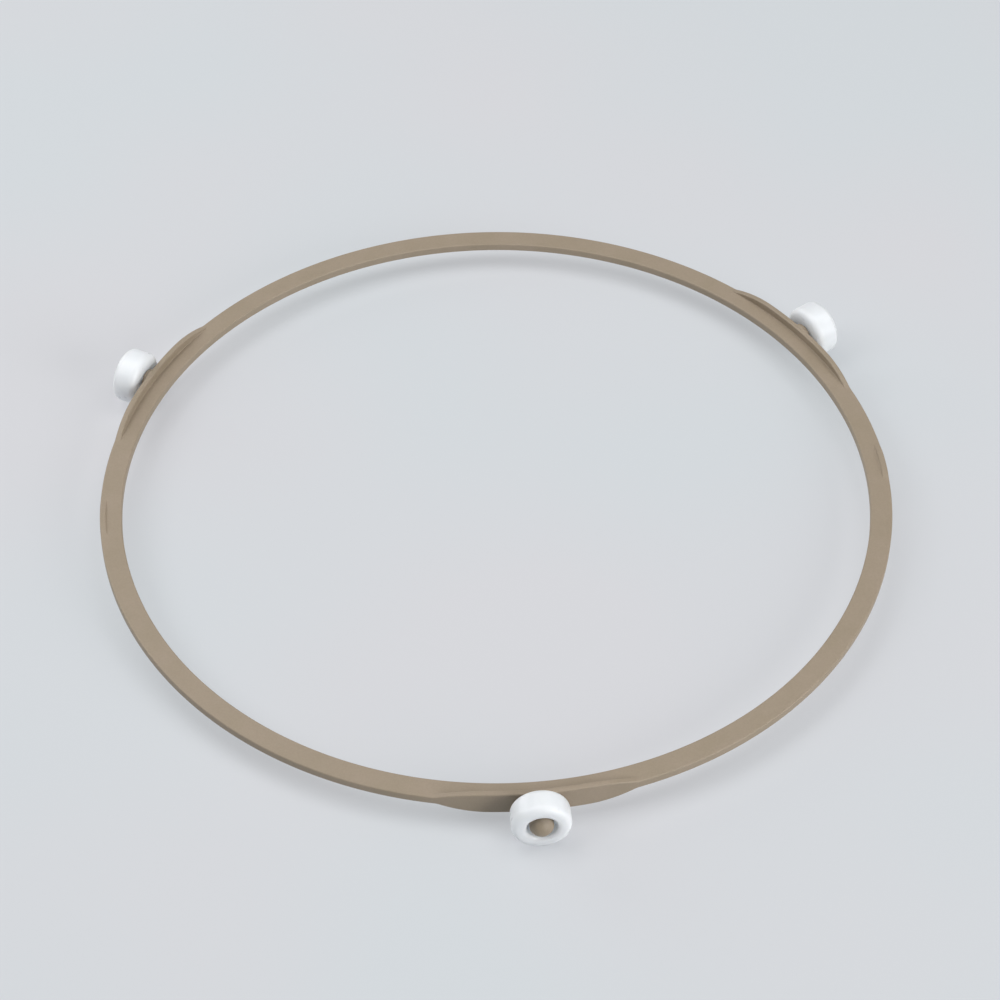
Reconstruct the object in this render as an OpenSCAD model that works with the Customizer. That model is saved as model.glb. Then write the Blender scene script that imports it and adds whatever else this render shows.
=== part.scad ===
// Roller ring that carries a turning glass plate.
// A flat moulded ring stands on three wheels, and each wheel turns on a pin that points straight outward.
// The axis of the ring is Z, the floor is at Z = 0, and the front wheel lies towards -Y.

/* [Ring band] */
// Outer diameter of the ring
ring_d = 204; // [150:1:300]
// Width of the flat band, measured towards the middle
band_w = 5.6; // [4:0.1:9]
// Thickness of the flat band
band_t = 2.3; // [1.6:0.1:4]
// Rounding of the four long edges of the band
band_edge_r = 0.4; // [0.1:0.05:0.7]

/* [Wheel walls] */
// Height that a wall stands above the band
wall_rise = 2.2; // [1:0.1:4]
// Depth that a wall hangs below the band
wall_drop = 1.9; // [1:0.1:4]
// Thickness of a wall
wall_t = 1.5; // [1:0.1:3]
// Length of the level stretch of a wall, in front of its wheel
wall_level_l = 23.2; // [14:0.2:40]
// Radius of the long slope at each end of a wall
wall_slope_r = 36; // [20:1:80]

/* [Axle pins] */
// Diameter of the shoulder that keeps a wheel off the wall
shoulder_d = 6.4; // [5:0.1:6.8]
// Diameter of the pin that a wheel turns on
pin_d = 4.2; // [3.2:0.1:4.4]
// Diameter of the snap head that holds a wheel on
head_d = 5.8; // [4.8:0.1:6.4]
// Height of the domed end of the head
head_dome_h = 2.1; // [0.4:0.1:2.4]
// Distance that the tip of the head stands out past the outer face of the wheel
head_stand_out = 1.3; // [0.6:0.1:1.8]

/* [Wheels] */
// Diameter of a wheel
wheel_d = 14.4; // [14:0.1:22]
// Width of a wheel
wheel_w = 6.8; // [5.4:0.1:12]
// Rounding of the two rims of a wheel
wheel_rim_r = 1.7; // [0.4:0.1:2]
// Diameter of the recess in the outer face, round the snap head
recess_d = 7.4; // [6.4:0.1:9]
// Depth of the recess
recess_depth = 2.2; // [1.6:0.1:3.2]
// Diameter of the recess at its mouth, where it opens out into the face
mouth_d = 9.4; // [7.8:0.1:10.4]
// Depth of the mouth, part of the depth of the recess
mouth_depth = 0.8; // [0.3:0.1:1.4]

/* [Clearances] */
// Gap between a wall and the inner face of its wheel
wheel_gap = 1.2; // [0.5:0.1:3]
// Gap all round between a pin and the bore of its wheel
bore_clearance = 0.08; // [0.02:0.01:0.1]
// Gap along the axle between a wheel and its shoulder, and between the wheel and its snap head
end_play = 0.15; // [0.05:0.05:0.2]

/* [Moulding pads] */
// Height of the two low pads on the outer edge of the band
pad_rise = 0.5; // [0.2:0.1:1.5]
// Thickness of a pad, measured towards the middle
pad_t = 1.6; // [0.8:0.1:3]
// Length of the level stretch of a pad
pad_level_l = 4; // [1:0.5:20]
// Radius of the slope at each end of a pad
pad_slope_r = 18; // [8:1:80]

/* [Hidden] */
$fn = 120;

front_angle = -90;
right_angle = 30;
left_angle = 150;
pad_angles = [0, 180];

ring_r = ring_d / 2;
wheel_r = wheel_d / 2;
pin_r = pin_d / 2;
head_r = head_d / 2;
bore_r = pin_r + bore_clearance;
recess_r = recess_d / 2;
mouth_r = mouth_d / 2;

// Heights: the wheels stand on the floor and their axles lie in the middle of the band
axle_z = wheel_r;
band_half_t = band_t / 2;
wall_top = band_half_t + wall_rise;
wall_bottom = band_half_t + wall_drop;
pad_top = band_half_t + pad_rise;

// Distances along an axle, from the outer face of the wall
shoulder_end = wheel_gap - end_play;
head_start = wheel_gap + wheel_w - recess_depth + end_play;
head_end = wheel_gap + wheel_w + head_stand_out;
dome_start = head_end - head_dome_h;

// Depth that pins start inside the wall, and spare length of a cutting solid
root_depth = wall_t / 2;
spare = 1;

// Sphere that gives a dome of that height on the head
dome_r = (head_r * head_r + head_dome_h * head_dome_h) / (2 * head_dome_h);

// A rectangle standing on the X axis at x0, with all four corners rounded
module rounded_bar(x0, width, half_h, edge_r) {
    translate([x0 + edge_r, -half_h]) square([width - 2 * edge_r, 2 * half_h]);
    translate([x0, -half_h + edge_r]) square([width, 2 * (half_h - edge_r)]);
    for (x = [x0 + edge_r, x0 + width - edge_r])
        for (y = [-half_h + edge_r, half_h - edge_r])
            translate([x, y]) circle(r = edge_r);
}

// A level top at height top_y, with a round slope falling away at each end
module sloped_top(top_y, level_l, slope_r) {
    for (x = [-level_l / 2, level_l / 2])
        translate([x, top_y - slope_r]) circle(r = slope_r);
    translate([-level_l / 2, top_y - 2 * slope_r]) square([level_l, 2 * slope_r]);
}

// The outer edge of the ring as a tube of the given thickness, centred on the height of the axles
module edge_tube(thickness, half_h) {
    difference() {
        cylinder(r = ring_r, h = 2 * half_h, center = true);
        cylinder(r = ring_r - thickness, h = 2 * half_h + 2 * spare, center = true);
    }
}

// Carries an outline drawn along the ring out through its edge, towards +X
module through_edge() {
    translate([ring_r / 2, 0, 0]) rotate([90, 0, 90]) linear_extrude(height = ring_r) children();
}

module band() {
    rotate_extrude() rounded_bar(ring_r - band_w, band_w, band_half_t, band_edge_r);
}

// Upright wall towards +X, level in front of the wheel and sloping into the band at both ends
module wheel_wall() {
    intersection() {
        edge_tube(wall_t, max(wall_top, wall_bottom) + spare);
        through_edge() intersection() {
            sloped_top(wall_top, wall_level_l, wall_slope_r);
            mirror([0, 1]) sloped_top(wall_bottom, wall_level_l, wall_slope_r);
        }
    }
}

// Low pad towards +X that only rises above the band
module moulding_pad() {
    intersection() {
        edge_tube(pad_t, pad_top);
        through_edge() intersection() {
            sloped_top(pad_top, pad_level_l, pad_slope_r);
            translate([-ring_r / 2, 0]) square([ring_r, 2 * pad_top]);
        }
    }
}

// Shoulder, pin and domed snap head, standing out of the wall towards +X
module axle_pin() {
    translate([ring_r, 0, 0]) rotate([0, 90, 0]) {
        translate([0, 0, -root_depth]) cylinder(d = shoulder_d, h = root_depth + shoulder_end);
        translate([0, 0, -root_depth]) cylinder(r = pin_r, h = root_depth + dome_start);
        translate([0, 0, head_start]) cylinder(r = head_r, h = dome_start - head_start);
        intersection() {
            translate([0, 0, head_end - dome_r]) sphere(r = dome_r);
            translate([0, 0, dome_start]) cylinder(r = head_r, h = head_dome_h + spare);
        }
    }
}

module roller_ring() {
    color([0.66, 0.6, 0.52]) translate([0, 0, axle_z]) {
        band();
        for (angle = [front_angle, right_angle, left_angle])
            rotate([0, 0, angle]) {
                wheel_wall();
                axle_pin();
            }
        for (angle = pad_angles) rotate([0, 0, angle]) moulding_pad();
    }
}

// Half section of a wheel, with the axle along Y and the outer face at +Y
module wheel_section() {
    half_w = wheel_w / 2;
    mouth_slope = (mouth_r - recess_r) / mouth_depth;
    difference() {
        union() {
            translate([0, -half_w]) square([wheel_r - wheel_rim_r, wheel_w]);
            translate([0, -half_w + wheel_rim_r]) square([wheel_r, wheel_w - 2 * wheel_rim_r]);
            for (y = [-half_w + wheel_rim_r, half_w - wheel_rim_r])
                translate([wheel_r - wheel_rim_r, y]) circle(r = wheel_rim_r);
        }
        translate([0, -half_w - spare]) square([bore_r, wheel_w + 2 * spare]);
        polygon([
            [0, half_w - recess_depth],
            [recess_r, half_w - recess_depth],
            [recess_r, half_w - mouth_depth],
            [mouth_r + spare * mouth_slope, half_w + spare],
            [0, half_w + spare]
        ]);
    }
}

// One wheel on its axle, in the direction of the given angle round the ring
module wheel(angle) {
    color([0.95, 0.95, 0.96])
        rotate([0, 0, angle])
            translate([ring_r + wheel_gap + wheel_w / 2, 0, axle_z])
                rotate([0, 90, 0]) rotate_extrude() wheel_section();
}

module wheel_front() { wheel(front_angle); }
module wheel_right() { wheel(right_angle); }
module wheel_left() { wheel(left_angle); }

roller_ring();
wheel_front();
wheel_right();
wheel_left();
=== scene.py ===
"""Looks of a roller ring: a thin moulded ring on three small wheels, which lies under a turning glass plate."""

import math

import bmesh
import bpy
from mathutils import Matrix, Vector


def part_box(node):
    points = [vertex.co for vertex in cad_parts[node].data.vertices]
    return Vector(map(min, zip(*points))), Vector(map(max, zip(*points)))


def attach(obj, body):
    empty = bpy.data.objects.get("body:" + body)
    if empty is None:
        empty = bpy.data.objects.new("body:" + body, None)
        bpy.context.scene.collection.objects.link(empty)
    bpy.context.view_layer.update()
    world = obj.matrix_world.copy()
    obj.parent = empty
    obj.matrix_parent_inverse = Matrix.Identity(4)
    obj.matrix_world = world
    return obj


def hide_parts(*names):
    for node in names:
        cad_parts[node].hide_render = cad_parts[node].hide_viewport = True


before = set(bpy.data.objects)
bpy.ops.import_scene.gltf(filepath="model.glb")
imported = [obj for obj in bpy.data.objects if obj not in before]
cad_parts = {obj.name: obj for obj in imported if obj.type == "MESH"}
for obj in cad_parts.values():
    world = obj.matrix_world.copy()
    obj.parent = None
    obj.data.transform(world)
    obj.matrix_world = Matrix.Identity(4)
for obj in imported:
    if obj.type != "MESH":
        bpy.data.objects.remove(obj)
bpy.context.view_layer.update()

MM = 0.001

# Wheels, read off the frame: their radius, and the distances of their two faces from the ring's axis, in mm
WHEEL_LOW, WHEEL_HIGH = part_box("wheel_front")
WHEEL_R = (WHEEL_HIGH.z - WHEEL_LOW.z) / 2 / MM
WHEEL_INNER_FACE = -WHEEL_HIGH.y / MM
WHEEL_OUTER_FACE = -WHEEL_LOW.y / MM
WHEEL_HALF_W = (WHEEL_OUTER_FACE - WHEEL_INNER_FACE) / 2
WHEEL_MIDDLE = WHEEL_INNER_FACE + WHEEL_HALF_W
AXLE_Z = WHEEL_LOW.z / MM + WHEEL_R

# Ring, read off the frame, in mm
RING_LOW, RING_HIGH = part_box("roller_ring")
RING_R = RING_HIGH.x / MM
WALL_TOP = RING_HIGH.z / MM - AXLE_Z
WALL_BOTTOM = AXLE_Z - RING_LOW.z / MM

# The moulding's other sizes, in mm
BAND_W = 5.6
BAND_HALF_T = 1.15
BAND_EDGE_R = 0.4
WALL_T = 1.5
WALL_LEVEL_L = 23.2
WALL_SLOPE_R = 36
WALL_EDGE_R = 0.35
WALL_ROOT_R = 0.25
PAD_RISE = 0.5
PAD_T = 1.6
PAD_LEVEL_L = 4
PAD_SLOPE_R = 18
BLEND_H = 0.12
SHOULDER_R = 3.2
PIN_R = 2.1
HEAD_R = 2.9
DOME_H = 2.1
HEAD_STAND_OUT = 1.3
END_PLAY = 0.15
PIN_EDGE_R = 0.15
PIN_ROOT_R = 0.3

# The wheels' other sizes, in mm
WHEEL_RIM_R = 1.7
BORE_R = 2.18
RECESS_R = 3.7
RECESS_DEPTH = 2.2
MOUTH_R = 4.7
MOUTH_DEPTH = 0.8
RECESS_FLOOR_R = 0.3
BORE_EDGE_R = 0.12

WHEEL_ANGLES = {"front": -90, "right": 30, "left": 150}
PAD_ANGLES = (0, 180)

# Fineness of the meshes
RING_STEPS = 900
TURNED_STEPS = 128
ARC_STEPS = 6


def arc(middle, radius, start, end, steps=ARC_STEPS):
    """Points of an arc in a section, from one angle to the other in degrees."""
    return [
        (
            middle[0] + radius * math.cos(math.radians(start + (end - start) * i / steps)),
            middle[1] + radius * math.sin(math.radians(start + (end - start) * i / steps)),
        )
        for i in range(steps + 1)
    ]


def turned(name, section, steps=TURNED_STEPS):
    """A mesh turned about local Z from a closed section of (radius, height) points in mm."""
    mesh = bmesh.new()
    rings = [
        [mesh.verts.new((r * MM * math.cos(a), r * MM * math.sin(a), z * MM)) for r, z in section]
        for a in (2 * math.pi * i / steps for i in range(steps))
    ]
    for here, there in zip(rings, rings[1:] + rings[:1]):
        for i in range(len(section)):
            j = (i + 1) % len(section)
            mesh.faces.new((here[i], there[i], there[j], here[j]))
    return finished(name, mesh)


def finished(name, mesh):
    """Welds a mesh, turns its faces outward and makes it a smooth-shaded object."""
    bmesh.ops.remove_doubles(mesh, verts=mesh.verts, dist=0.002 * MM)
    bmesh.ops.dissolve_degenerate(mesh, edges=mesh.edges, dist=0.0005 * MM)
    bmesh.ops.recalc_face_normals(mesh, faces=mesh.faces)
    for face in mesh.faces:
        face.smooth = True
    data = bpy.data.meshes.new(name)
    mesh.to_mesh(data)
    mesh.free()
    piece = bpy.data.objects.new(name, data)
    bpy.context.scene.collection.objects.link(piece)
    return piece


def apply_modifiers(piece):
    """Puts what a piece's modifiers make into its own mesh."""
    evaluated = piece.evaluated_get(bpy.context.evaluated_depsgraph_get())
    data = bpy.data.meshes.new_from_object(evaluated)
    piece.modifiers.clear()
    piece.data = data


def even_shading(piece):
    """Keeps flat faces flat where they run into small roundings."""
    weighted = piece.modifiers.new("even_shading", "WEIGHTED_NORMAL")
    weighted.mode = "FACE_AREA"
    weighted.weight = 50
    apply_modifiers(piece)


def slope_height(across, top, level_l, slope_r):
    """Height of an outline that is level in its middle and falls away in a round slope at each end."""
    past = abs(across) - level_l / 2
    if past <= 0:
        return top
    if past >= slope_r:
        return 0
    return top - slope_r + math.sqrt(slope_r**2 - past**2)


def rise_over_band(height):
    """How far an outline stands over the band, with a small soft start."""
    over = height - BAND_HALF_T
    if over <= -BLEND_H:
        return 0
    if over >= BLEND_H:
        return over
    return (over + BLEND_H) ** 2 / (4 * BLEND_H)


def rise_at(angle, radius, upper):
    """How far the ring stands over its band at an angle round the ring, and how thick it is there."""
    rise, thickness = 0, WALL_T
    for middle in WHEEL_ANGLES.values():
        turn = math.radians((angle - middle + 180) % 360 - 180)
        if abs(turn) < 0.5:
            across = radius * math.sin(turn)
            reach = WALL_TOP if upper else WALL_BOTTOM
            rise = rise_over_band(slope_height(across, reach, WALL_LEVEL_L, WALL_SLOPE_R))
    for middle in PAD_ANGLES:
        turn = math.radians((angle - middle + 180) % 360 - 180)
        if upper and abs(turn) < 0.2:
            across = radius * math.sin(turn)
            rise = rise_over_band(slope_height(across, BAND_HALF_T + PAD_RISE, PAD_LEVEL_L, PAD_SLOPE_R))
            thickness = PAD_T
    return rise, thickness


def half_section(angle, upper):
    """Upper or lower half of the ring's section as (radius, height) points, from its outer to its inner face."""
    rise, thickness = rise_at(angle, RING_R - WALL_T / 2, upper)
    top = BAND_HALF_T + rise
    wall_inside = RING_R - thickness
    edge_r = min(WALL_EDGE_R, rise / 2)
    root_r = min(WALL_ROOT_R, rise / 2)
    inner_edge = RING_R - BAND_W + BAND_EDGE_R
    points = [(RING_R, 0)]
    points += arc((RING_R - BAND_EDGE_R, top - BAND_EDGE_R), BAND_EDGE_R, 0, 90)
    points += arc((wall_inside + edge_r, top - edge_r), edge_r, 90, 180)
    points += arc((wall_inside - root_r, BAND_HALF_T + root_r), root_r, 0, -90)
    points += arc((inner_edge, BAND_HALF_T - BAND_EDGE_R), BAND_EDGE_R, 90, 180)
    points += [(RING_R - BAND_W, 0)]
    return points


def swept_ring():
    """Band, walls and pads in one closed mesh, swept round the ring's axis."""
    mesh = bmesh.new()
    rings = []
    for i in range(RING_STEPS):
        angle = 360 * i / RING_STEPS
        over = half_section(angle, True)
        under = [(r, -z) for r, z in half_section(angle, False)]
        section = over + under[-2:0:-1]
        c, s = math.cos(math.radians(angle)), math.sin(math.radians(angle))
        rings.append([mesh.verts.new((r * MM * c, r * MM * s, (AXLE_Z + z) * MM)) for r, z in section])
    for here, there in zip(rings, rings[1:] + rings[:1]):
        for i in range(len(here)):
            j = (i + 1) % len(here)
            mesh.faces.new((here[i], there[i], there[j], here[j]))
    return finished("moulded_ring", mesh)


def axle_place(angle, distance):
    """A piece turned about Z is laid with its Z axis straight out from the ring, this far from the ring's axis."""
    turn = Matrix.Rotation(math.radians(angle), 4, "Z")
    lie = Matrix.Rotation(math.radians(90), 4, "Y")
    return turn @ Matrix.Translation(Vector((distance * MM, 0, AXLE_Z * MM))) @ lie


def axle_pin(name):
    """Shoulder, pin and domed snap head, from inside the wall to just past the wheel's outer face."""
    shoulder_end = WHEEL_INNER_FACE - RING_R - END_PLAY
    head_start = WHEEL_OUTER_FACE - RING_R - RECESS_DEPTH + END_PLAY
    head_end = WHEEL_OUTER_FACE - RING_R + HEAD_STAND_OUT
    land_end = head_end - DOME_H
    dome_r = (HEAD_R**2 + DOME_H**2) / (2 * DOME_H)
    dome_side = math.degrees(math.asin(HEAD_R / dome_r))
    e = PIN_EDGE_R
    section = [(0, -WALL_T / 2), (SHOULDER_R + PIN_ROOT_R, -WALL_T / 2), (SHOULDER_R + PIN_ROOT_R, -0.1)]
    section += arc((SHOULDER_R + PIN_ROOT_R, PIN_ROOT_R - 0.03), PIN_ROOT_R, -90, -180)
    section += arc((SHOULDER_R - e, shoulder_end - e), e, 0, 90)
    section += [(PIN_R, shoulder_end), (PIN_R, head_start)]
    section += arc((HEAD_R - e, head_start + e), e, -90, 0)
    section += [(HEAD_R, land_end - 0.1)]
    section += arc((0, head_end - dome_r), dome_r, 90 - dome_side * 0.97, 90, 20)
    return turned(name, section)


def wheel(name):
    """A wheel with rounded rims and a bore. Its outer face is sunk round the head, with a wide soft mouth."""
    half_w, hub = WHEEL_HALF_W, WHEEL_HALF_W - RECESS_DEPTH
    section = arc((BORE_R + BORE_EDGE_R, hub - BORE_EDGE_R), BORE_EDGE_R, 180, 90, 3)
    section += arc((RECESS_R - RECESS_FLOOR_R, hub + RECESS_FLOOR_R), RECESS_FLOOR_R, -90, 0, 4)
    section += [
        (MOUTH_R - (MOUTH_R - RECESS_R) * math.cos(a), half_w - MOUTH_DEPTH + MOUTH_DEPTH * math.sin(a))
        for a in (math.radians(7.5 * i) for i in range(13))
    ]
    section += arc((WHEEL_R - WHEEL_RIM_R, half_w - WHEEL_RIM_R), WHEEL_RIM_R, 90, 0, 12)
    section += arc((WHEEL_R - WHEEL_RIM_R, WHEEL_RIM_R - half_w), WHEEL_RIM_R, 0, -90, 12)
    section += arc((BORE_R + BORE_EDGE_R, BORE_EDGE_R - half_w), BORE_EDGE_R, -90, -180, 3)
    return turned(name, section, 160)


def srgb(code, alpha=1):
    """A hex colour as Blender's linear values."""
    values = [int(code[i : i + 2], 16) / 255 for i in (1, 3, 5)]
    linear = [v / 12.92 if v <= 0.04045 else ((v + 0.055) / 1.055) ** 2.4 for v in values]
    return (*linear, alpha)


def add(tree, kind, settings=None, inputs=None):
    """Adds a node. An input is a plain value, or (node, output name) for a link."""
    made = tree.nodes.new(kind)
    for name, value in (settings or {}).items():
        setattr(made, name, value)
    for name, value in (inputs or {}).items():
        socket = made.inputs[name]
        if isinstance(value, tuple) and isinstance(value[0], bpy.types.Node):
            tree.links.new(value[0].outputs[value[1]], socket)
        else:
            socket.default_value = value
    return made


def new_material(name):
    """An empty node material, with its output node."""
    material = bpy.data.materials.new(name)
    material.use_nodes = True
    material.node_tree.nodes.clear()
    output = material.node_tree.nodes.new("ShaderNodeOutputMaterial")
    return material, material.node_tree, output


def tan_moulded_nylon():
    """Heat-resistant filled nylon, injection moulded in a spark-eroded tool: matt tan with a very fine grain,
    soft cloudy flow shades a few millimetres wide, and a dull shine only at a low angle."""
    material, tree, output = new_material("tan_moulded_nylon")
    place = add(tree, "ShaderNodeTexCoord")
    # Flow shades, 9 mm wide
    clouds = add(tree, "ShaderNodeTexNoise", None, {
        "Vector": (place, "Object"), "Scale": 1 / (9 * MM), "Detail": 3, "Roughness": 0.6})
    shades = add(tree, "ShaderNodeValToRGB", None, {"Fac": (clouds, "Fac")})
    shades.color_ramp.elements[0].position = 0.3
    shades.color_ramp.elements[0].color = srgb("#978975")
    shades.color_ramp.elements[1].position = 0.7
    shades.color_ramp.elements[1].color = srgb("#9D8E7C")
    # Grain of the filler, 0.5 mm, coarser than the real 0.1 mm so that it shows
    grain = add(tree, "ShaderNodeTexNoise", None, {
        "Vector": (place, "Object"), "Scale": 1 / (0.5 * MM), "Detail": 2, "Roughness": 0.7})
    grain_shade = add(tree, "ShaderNodeMapRange", None, {
        "Value": (grain, "Fac"), "From Min": 0.3, "From Max": 0.7, "To Min": 0.96, "To Max": 1.04})
    colour = add(tree, "ShaderNodeMix", {"data_type": "RGBA", "blend_type": "MULTIPLY"}, {"Factor": 1.0})
    tree.links.new(shades.outputs["Color"], colour.inputs["A"])
    tree.links.new(grain_shade.outputs["Result"], colour.inputs["B"])
    dullness = add(tree, "ShaderNodeMapRange", None, {
        "Value": (clouds, "Fac"), "From Min": 0.3, "From Max": 0.7, "To Min": 0.5, "To Max": 0.62})
    relief = add(tree, "ShaderNodeBump", None, {
        "Height": (grain, "Fac"), "Strength": 0.25, "Distance": 0.03 * MM})
    shader = add(tree, "ShaderNodeBsdfPrincipled", None, {
        "Base Color": (colour, "Result"), "Roughness": (dullness, "Result"), "IOR": 1.5,
        "Normal": (relief, "Normal")})
    tree.links.new(shader.outputs["BSDF"], output.inputs["Surface"])
    return material


def white_moulded_acetal():
    """White acetal, injection moulded in a polished tool: smooth and slightly waxy, so light enters a little
    and its edges look soft."""
    material, tree, output = new_material("white_moulded_acetal")
    place = add(tree, "ShaderNodeTexCoord")
    # Faint flow shades, 3 mm wide
    clouds = add(tree, "ShaderNodeTexNoise", None, {
        "Vector": (place, "Object"), "Scale": 1 / (3 * MM), "Detail": 2, "Roughness": 0.5})
    shades = add(tree, "ShaderNodeValToRGB", None, {"Fac": (clouds, "Fac")})
    shades.color_ramp.elements[0].position = 0.3
    shades.color_ramp.elements[0].color = srgb("#ECF0F6")
    shades.color_ramp.elements[1].position = 0.7
    shades.color_ramp.elements[1].color = srgb("#EEF2F8")
    sheen = add(tree, "ShaderNodeMapRange", None, {
        "Value": (clouds, "Fac"), "From Min": 0.3, "From Max": 0.7, "To Min": 0.27, "To Max": 0.36})
    shader = add(tree, "ShaderNodeBsdfPrincipled", None, {
        "Base Color": (shades, "Color"), "Roughness": (sheen, "Result"), "IOR": 1.48,
        "Subsurface Weight": 1.0, "Subsurface Radius": (1, 1, 1), "Subsurface Scale": 4 * MM})
    tree.links.new(shader.outputs["BSDF"], output.inputs["Surface"])
    return material


def pale_light_table():
    """Matt pale table top, faintly cool and nearly even. It glows a little, so shadows on it look thin."""
    material, tree, output = new_material("pale_light_table")
    place = add(tree, "ShaderNodeTexCoord")
    clouds = add(tree, "ShaderNodeTexNoise", None, {
        "Vector": (place, "Object"), "Scale": 1 / (120 * MM), "Detail": 1, "Roughness": 0.4})
    shades = add(tree, "ShaderNodeValToRGB", None, {"Fac": (clouds, "Fac")})
    shades.color_ramp.elements[0].position = 0.35
    shades.color_ramp.elements[0].color = srgb("#D5DADE")
    shades.color_ramp.elements[1].position = 0.65
    shades.color_ramp.elements[1].color = srgb("#D8D9DD")
    matt = add(tree, "ShaderNodeBsdfDiffuse", None, {"Color": (shades, "Color")})
    glow = add(tree, "ShaderNodeEmission", None, {"Color": (shades, "Color"), "Strength": 1.0})
    glow_share = add(tree, "ShaderNodeMath", {"operation": "MULTIPLY"}, {0: (seen_rays(tree), "Value"), 1: 0.58})
    shader = add(tree, "ShaderNodeMixShader", None, {0: (glow_share, "Value"), 1: (matt, "BSDF"), 2: (glow, "Emission")})
    tree.links.new(shader.outputs["Shader"], output.inputs["Surface"])
    return material


def seen_rays(tree):
    """A value of 1 for the rays by which the eye sees a thing, straight or in a shiny surface, and 0 for the rest."""
    rays = add(tree, "ShaderNodeLightPath")
    straight_or_mirrored = add(tree, "ShaderNodeMath", {"operation": "MAXIMUM"}, {
        0: (rays, "Is Camera Ray"), 1: (rays, "Is Glossy Ray")})
    return add(tree, "ShaderNodeMath", {"operation": "MAXIMUM"}, {
        0: (straight_or_mirrored, "Value"), 1: (rays, "Is Transmission Ray")})


def dress(piece, material):
    piece.data.materials.clear()
    piece.data.materials.append(material)


# Camera, at the place and with the lens that the photograph gives
camera = bpy.data.objects.new("camera", bpy.data.cameras.new("camera"))
bpy.context.scene.collection.objects.link(camera)
camera.data.sensor_width = 36
camera.data.lens = 105.31
camera.data.shift_x = -0.0005
camera.data.shift_y = 0.0005
camera.matrix_world = (
    Matrix.Translation((-0.04944, -0.52574, 0.54951))
    @ Matrix.Rotation(math.radians(-5.494), 4, "Z")
    @ Matrix.Rotation(math.radians(90 - 45.915), 4, "X")
    @ Matrix.Rotation(math.radians(-0.247), 4, "Z")
)
bpy.context.scene.camera = camera

# The ring, with its three pins joined on
nylon = tan_moulded_nylon()
acetal = white_moulded_acetal()
ring = swept_ring()
for name, angle in WHEEL_ANGLES.items():
    pin = axle_pin("pin_" + name)
    pin.matrix_world = axle_place(angle, RING_R)
    bpy.context.view_layer.update()
    union = ring.modifiers.new("join_pin", "BOOLEAN")
    union.operation = "UNION"
    union.solver = "EXACT"
    union.object = pin
    apply_modifiers(ring)
    bpy.data.objects.remove(pin)
even_shading(ring)
dress(ring, nylon)
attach(ring, "ring")
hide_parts("roller_ring")

# The wheels, each turned to a chance angle on its pin
for (name, angle), spin in zip(WHEEL_ANGLES.items(), (0, 90, 180)):
    piece = wheel("white_wheel_" + name)
    even_shading(piece)
    dress(piece, acetal)
    piece.matrix_world = axle_place(angle, WHEEL_MIDDLE) @ Matrix.Rotation(math.radians(spin), 4, "Z")
    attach(piece, name + "_wheel")
    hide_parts("wheel_" + name)

# Floor
floor_mesh = bmesh.new()
bmesh.ops.create_grid(floor_mesh, x_segments=2, y_segments=2, size=4)
floor_data = bpy.data.meshes.new("floor")
floor_mesh.to_mesh(floor_data)
floor_mesh.free()
floor = bpy.data.objects.new("floor", floor_data)
bpy.context.scene.collection.objects.link(floor)
dress(floor, pale_light_table())


def soft_lamp(name, azimuth, elevation, distance, size, share):
    """A square lamp that faces the ring. A share of 1 lights a surface that faces it as brightly as it is written."""
    data = bpy.data.lights.new(name, "AREA")
    data.shape = "DISK"
    data.size = size
    data.energy = (math.pi * distance) ** 2 * share
    lamp = bpy.data.objects.new(name, data)
    bpy.context.scene.collection.objects.link(lamp)
    a, e = math.radians(azimuth), math.radians(elevation)
    away = Vector((math.cos(a) * math.cos(e), math.sin(a) * math.cos(e), math.sin(e)))
    lamp.matrix_world = (
        Matrix.Translation(away * distance) @ away.to_track_quat("Z", "Y").to_matrix().to_4x4()
    )
    return lamp


soft_lamp("low_front_right_lamp", 315, 20, 1.4, 0.8, 0.67)
soft_lamp("low_back_left_lamp", 135, 20, 1.4, 0.8, 0.23)
soft_lamp("left_lamp", 180, 45, 1.4, 0.8, 0.32)
soft_lamp("high_right_lamp", 0, 68, 1.4, 0.8, 0.26)
soft_lamp("high_back_left_lamp", 135, 68, 1.4, 0.8, 0.28)

# The room's even light, and the pale backdrop that the camera and gloss see
world = bpy.data.worlds.new("studio")
bpy.context.scene.world = world
world.use_nodes = True
sky = world.node_tree
sky.nodes.clear()
room_light = add(sky, "ShaderNodeBackground", None, {"Color": srgb("#FFFFFF"), "Strength": 0.03})
backdrop = add(sky, "ShaderNodeBackground", None, {"Color": srgb("#D4D7DB"), "Strength": 1.0})
both = add(sky, "ShaderNodeMixShader", None, {
    0: (seen_rays(sky), "Value"), 1: (room_light, "Background"), 2: (backdrop, "Background")})
sky_output = add(sky, "ShaderNodeOutputWorld", None, {"Surface": (both, "Shader")})

bpy.context.scene.view_settings.view_transform = "Standard"
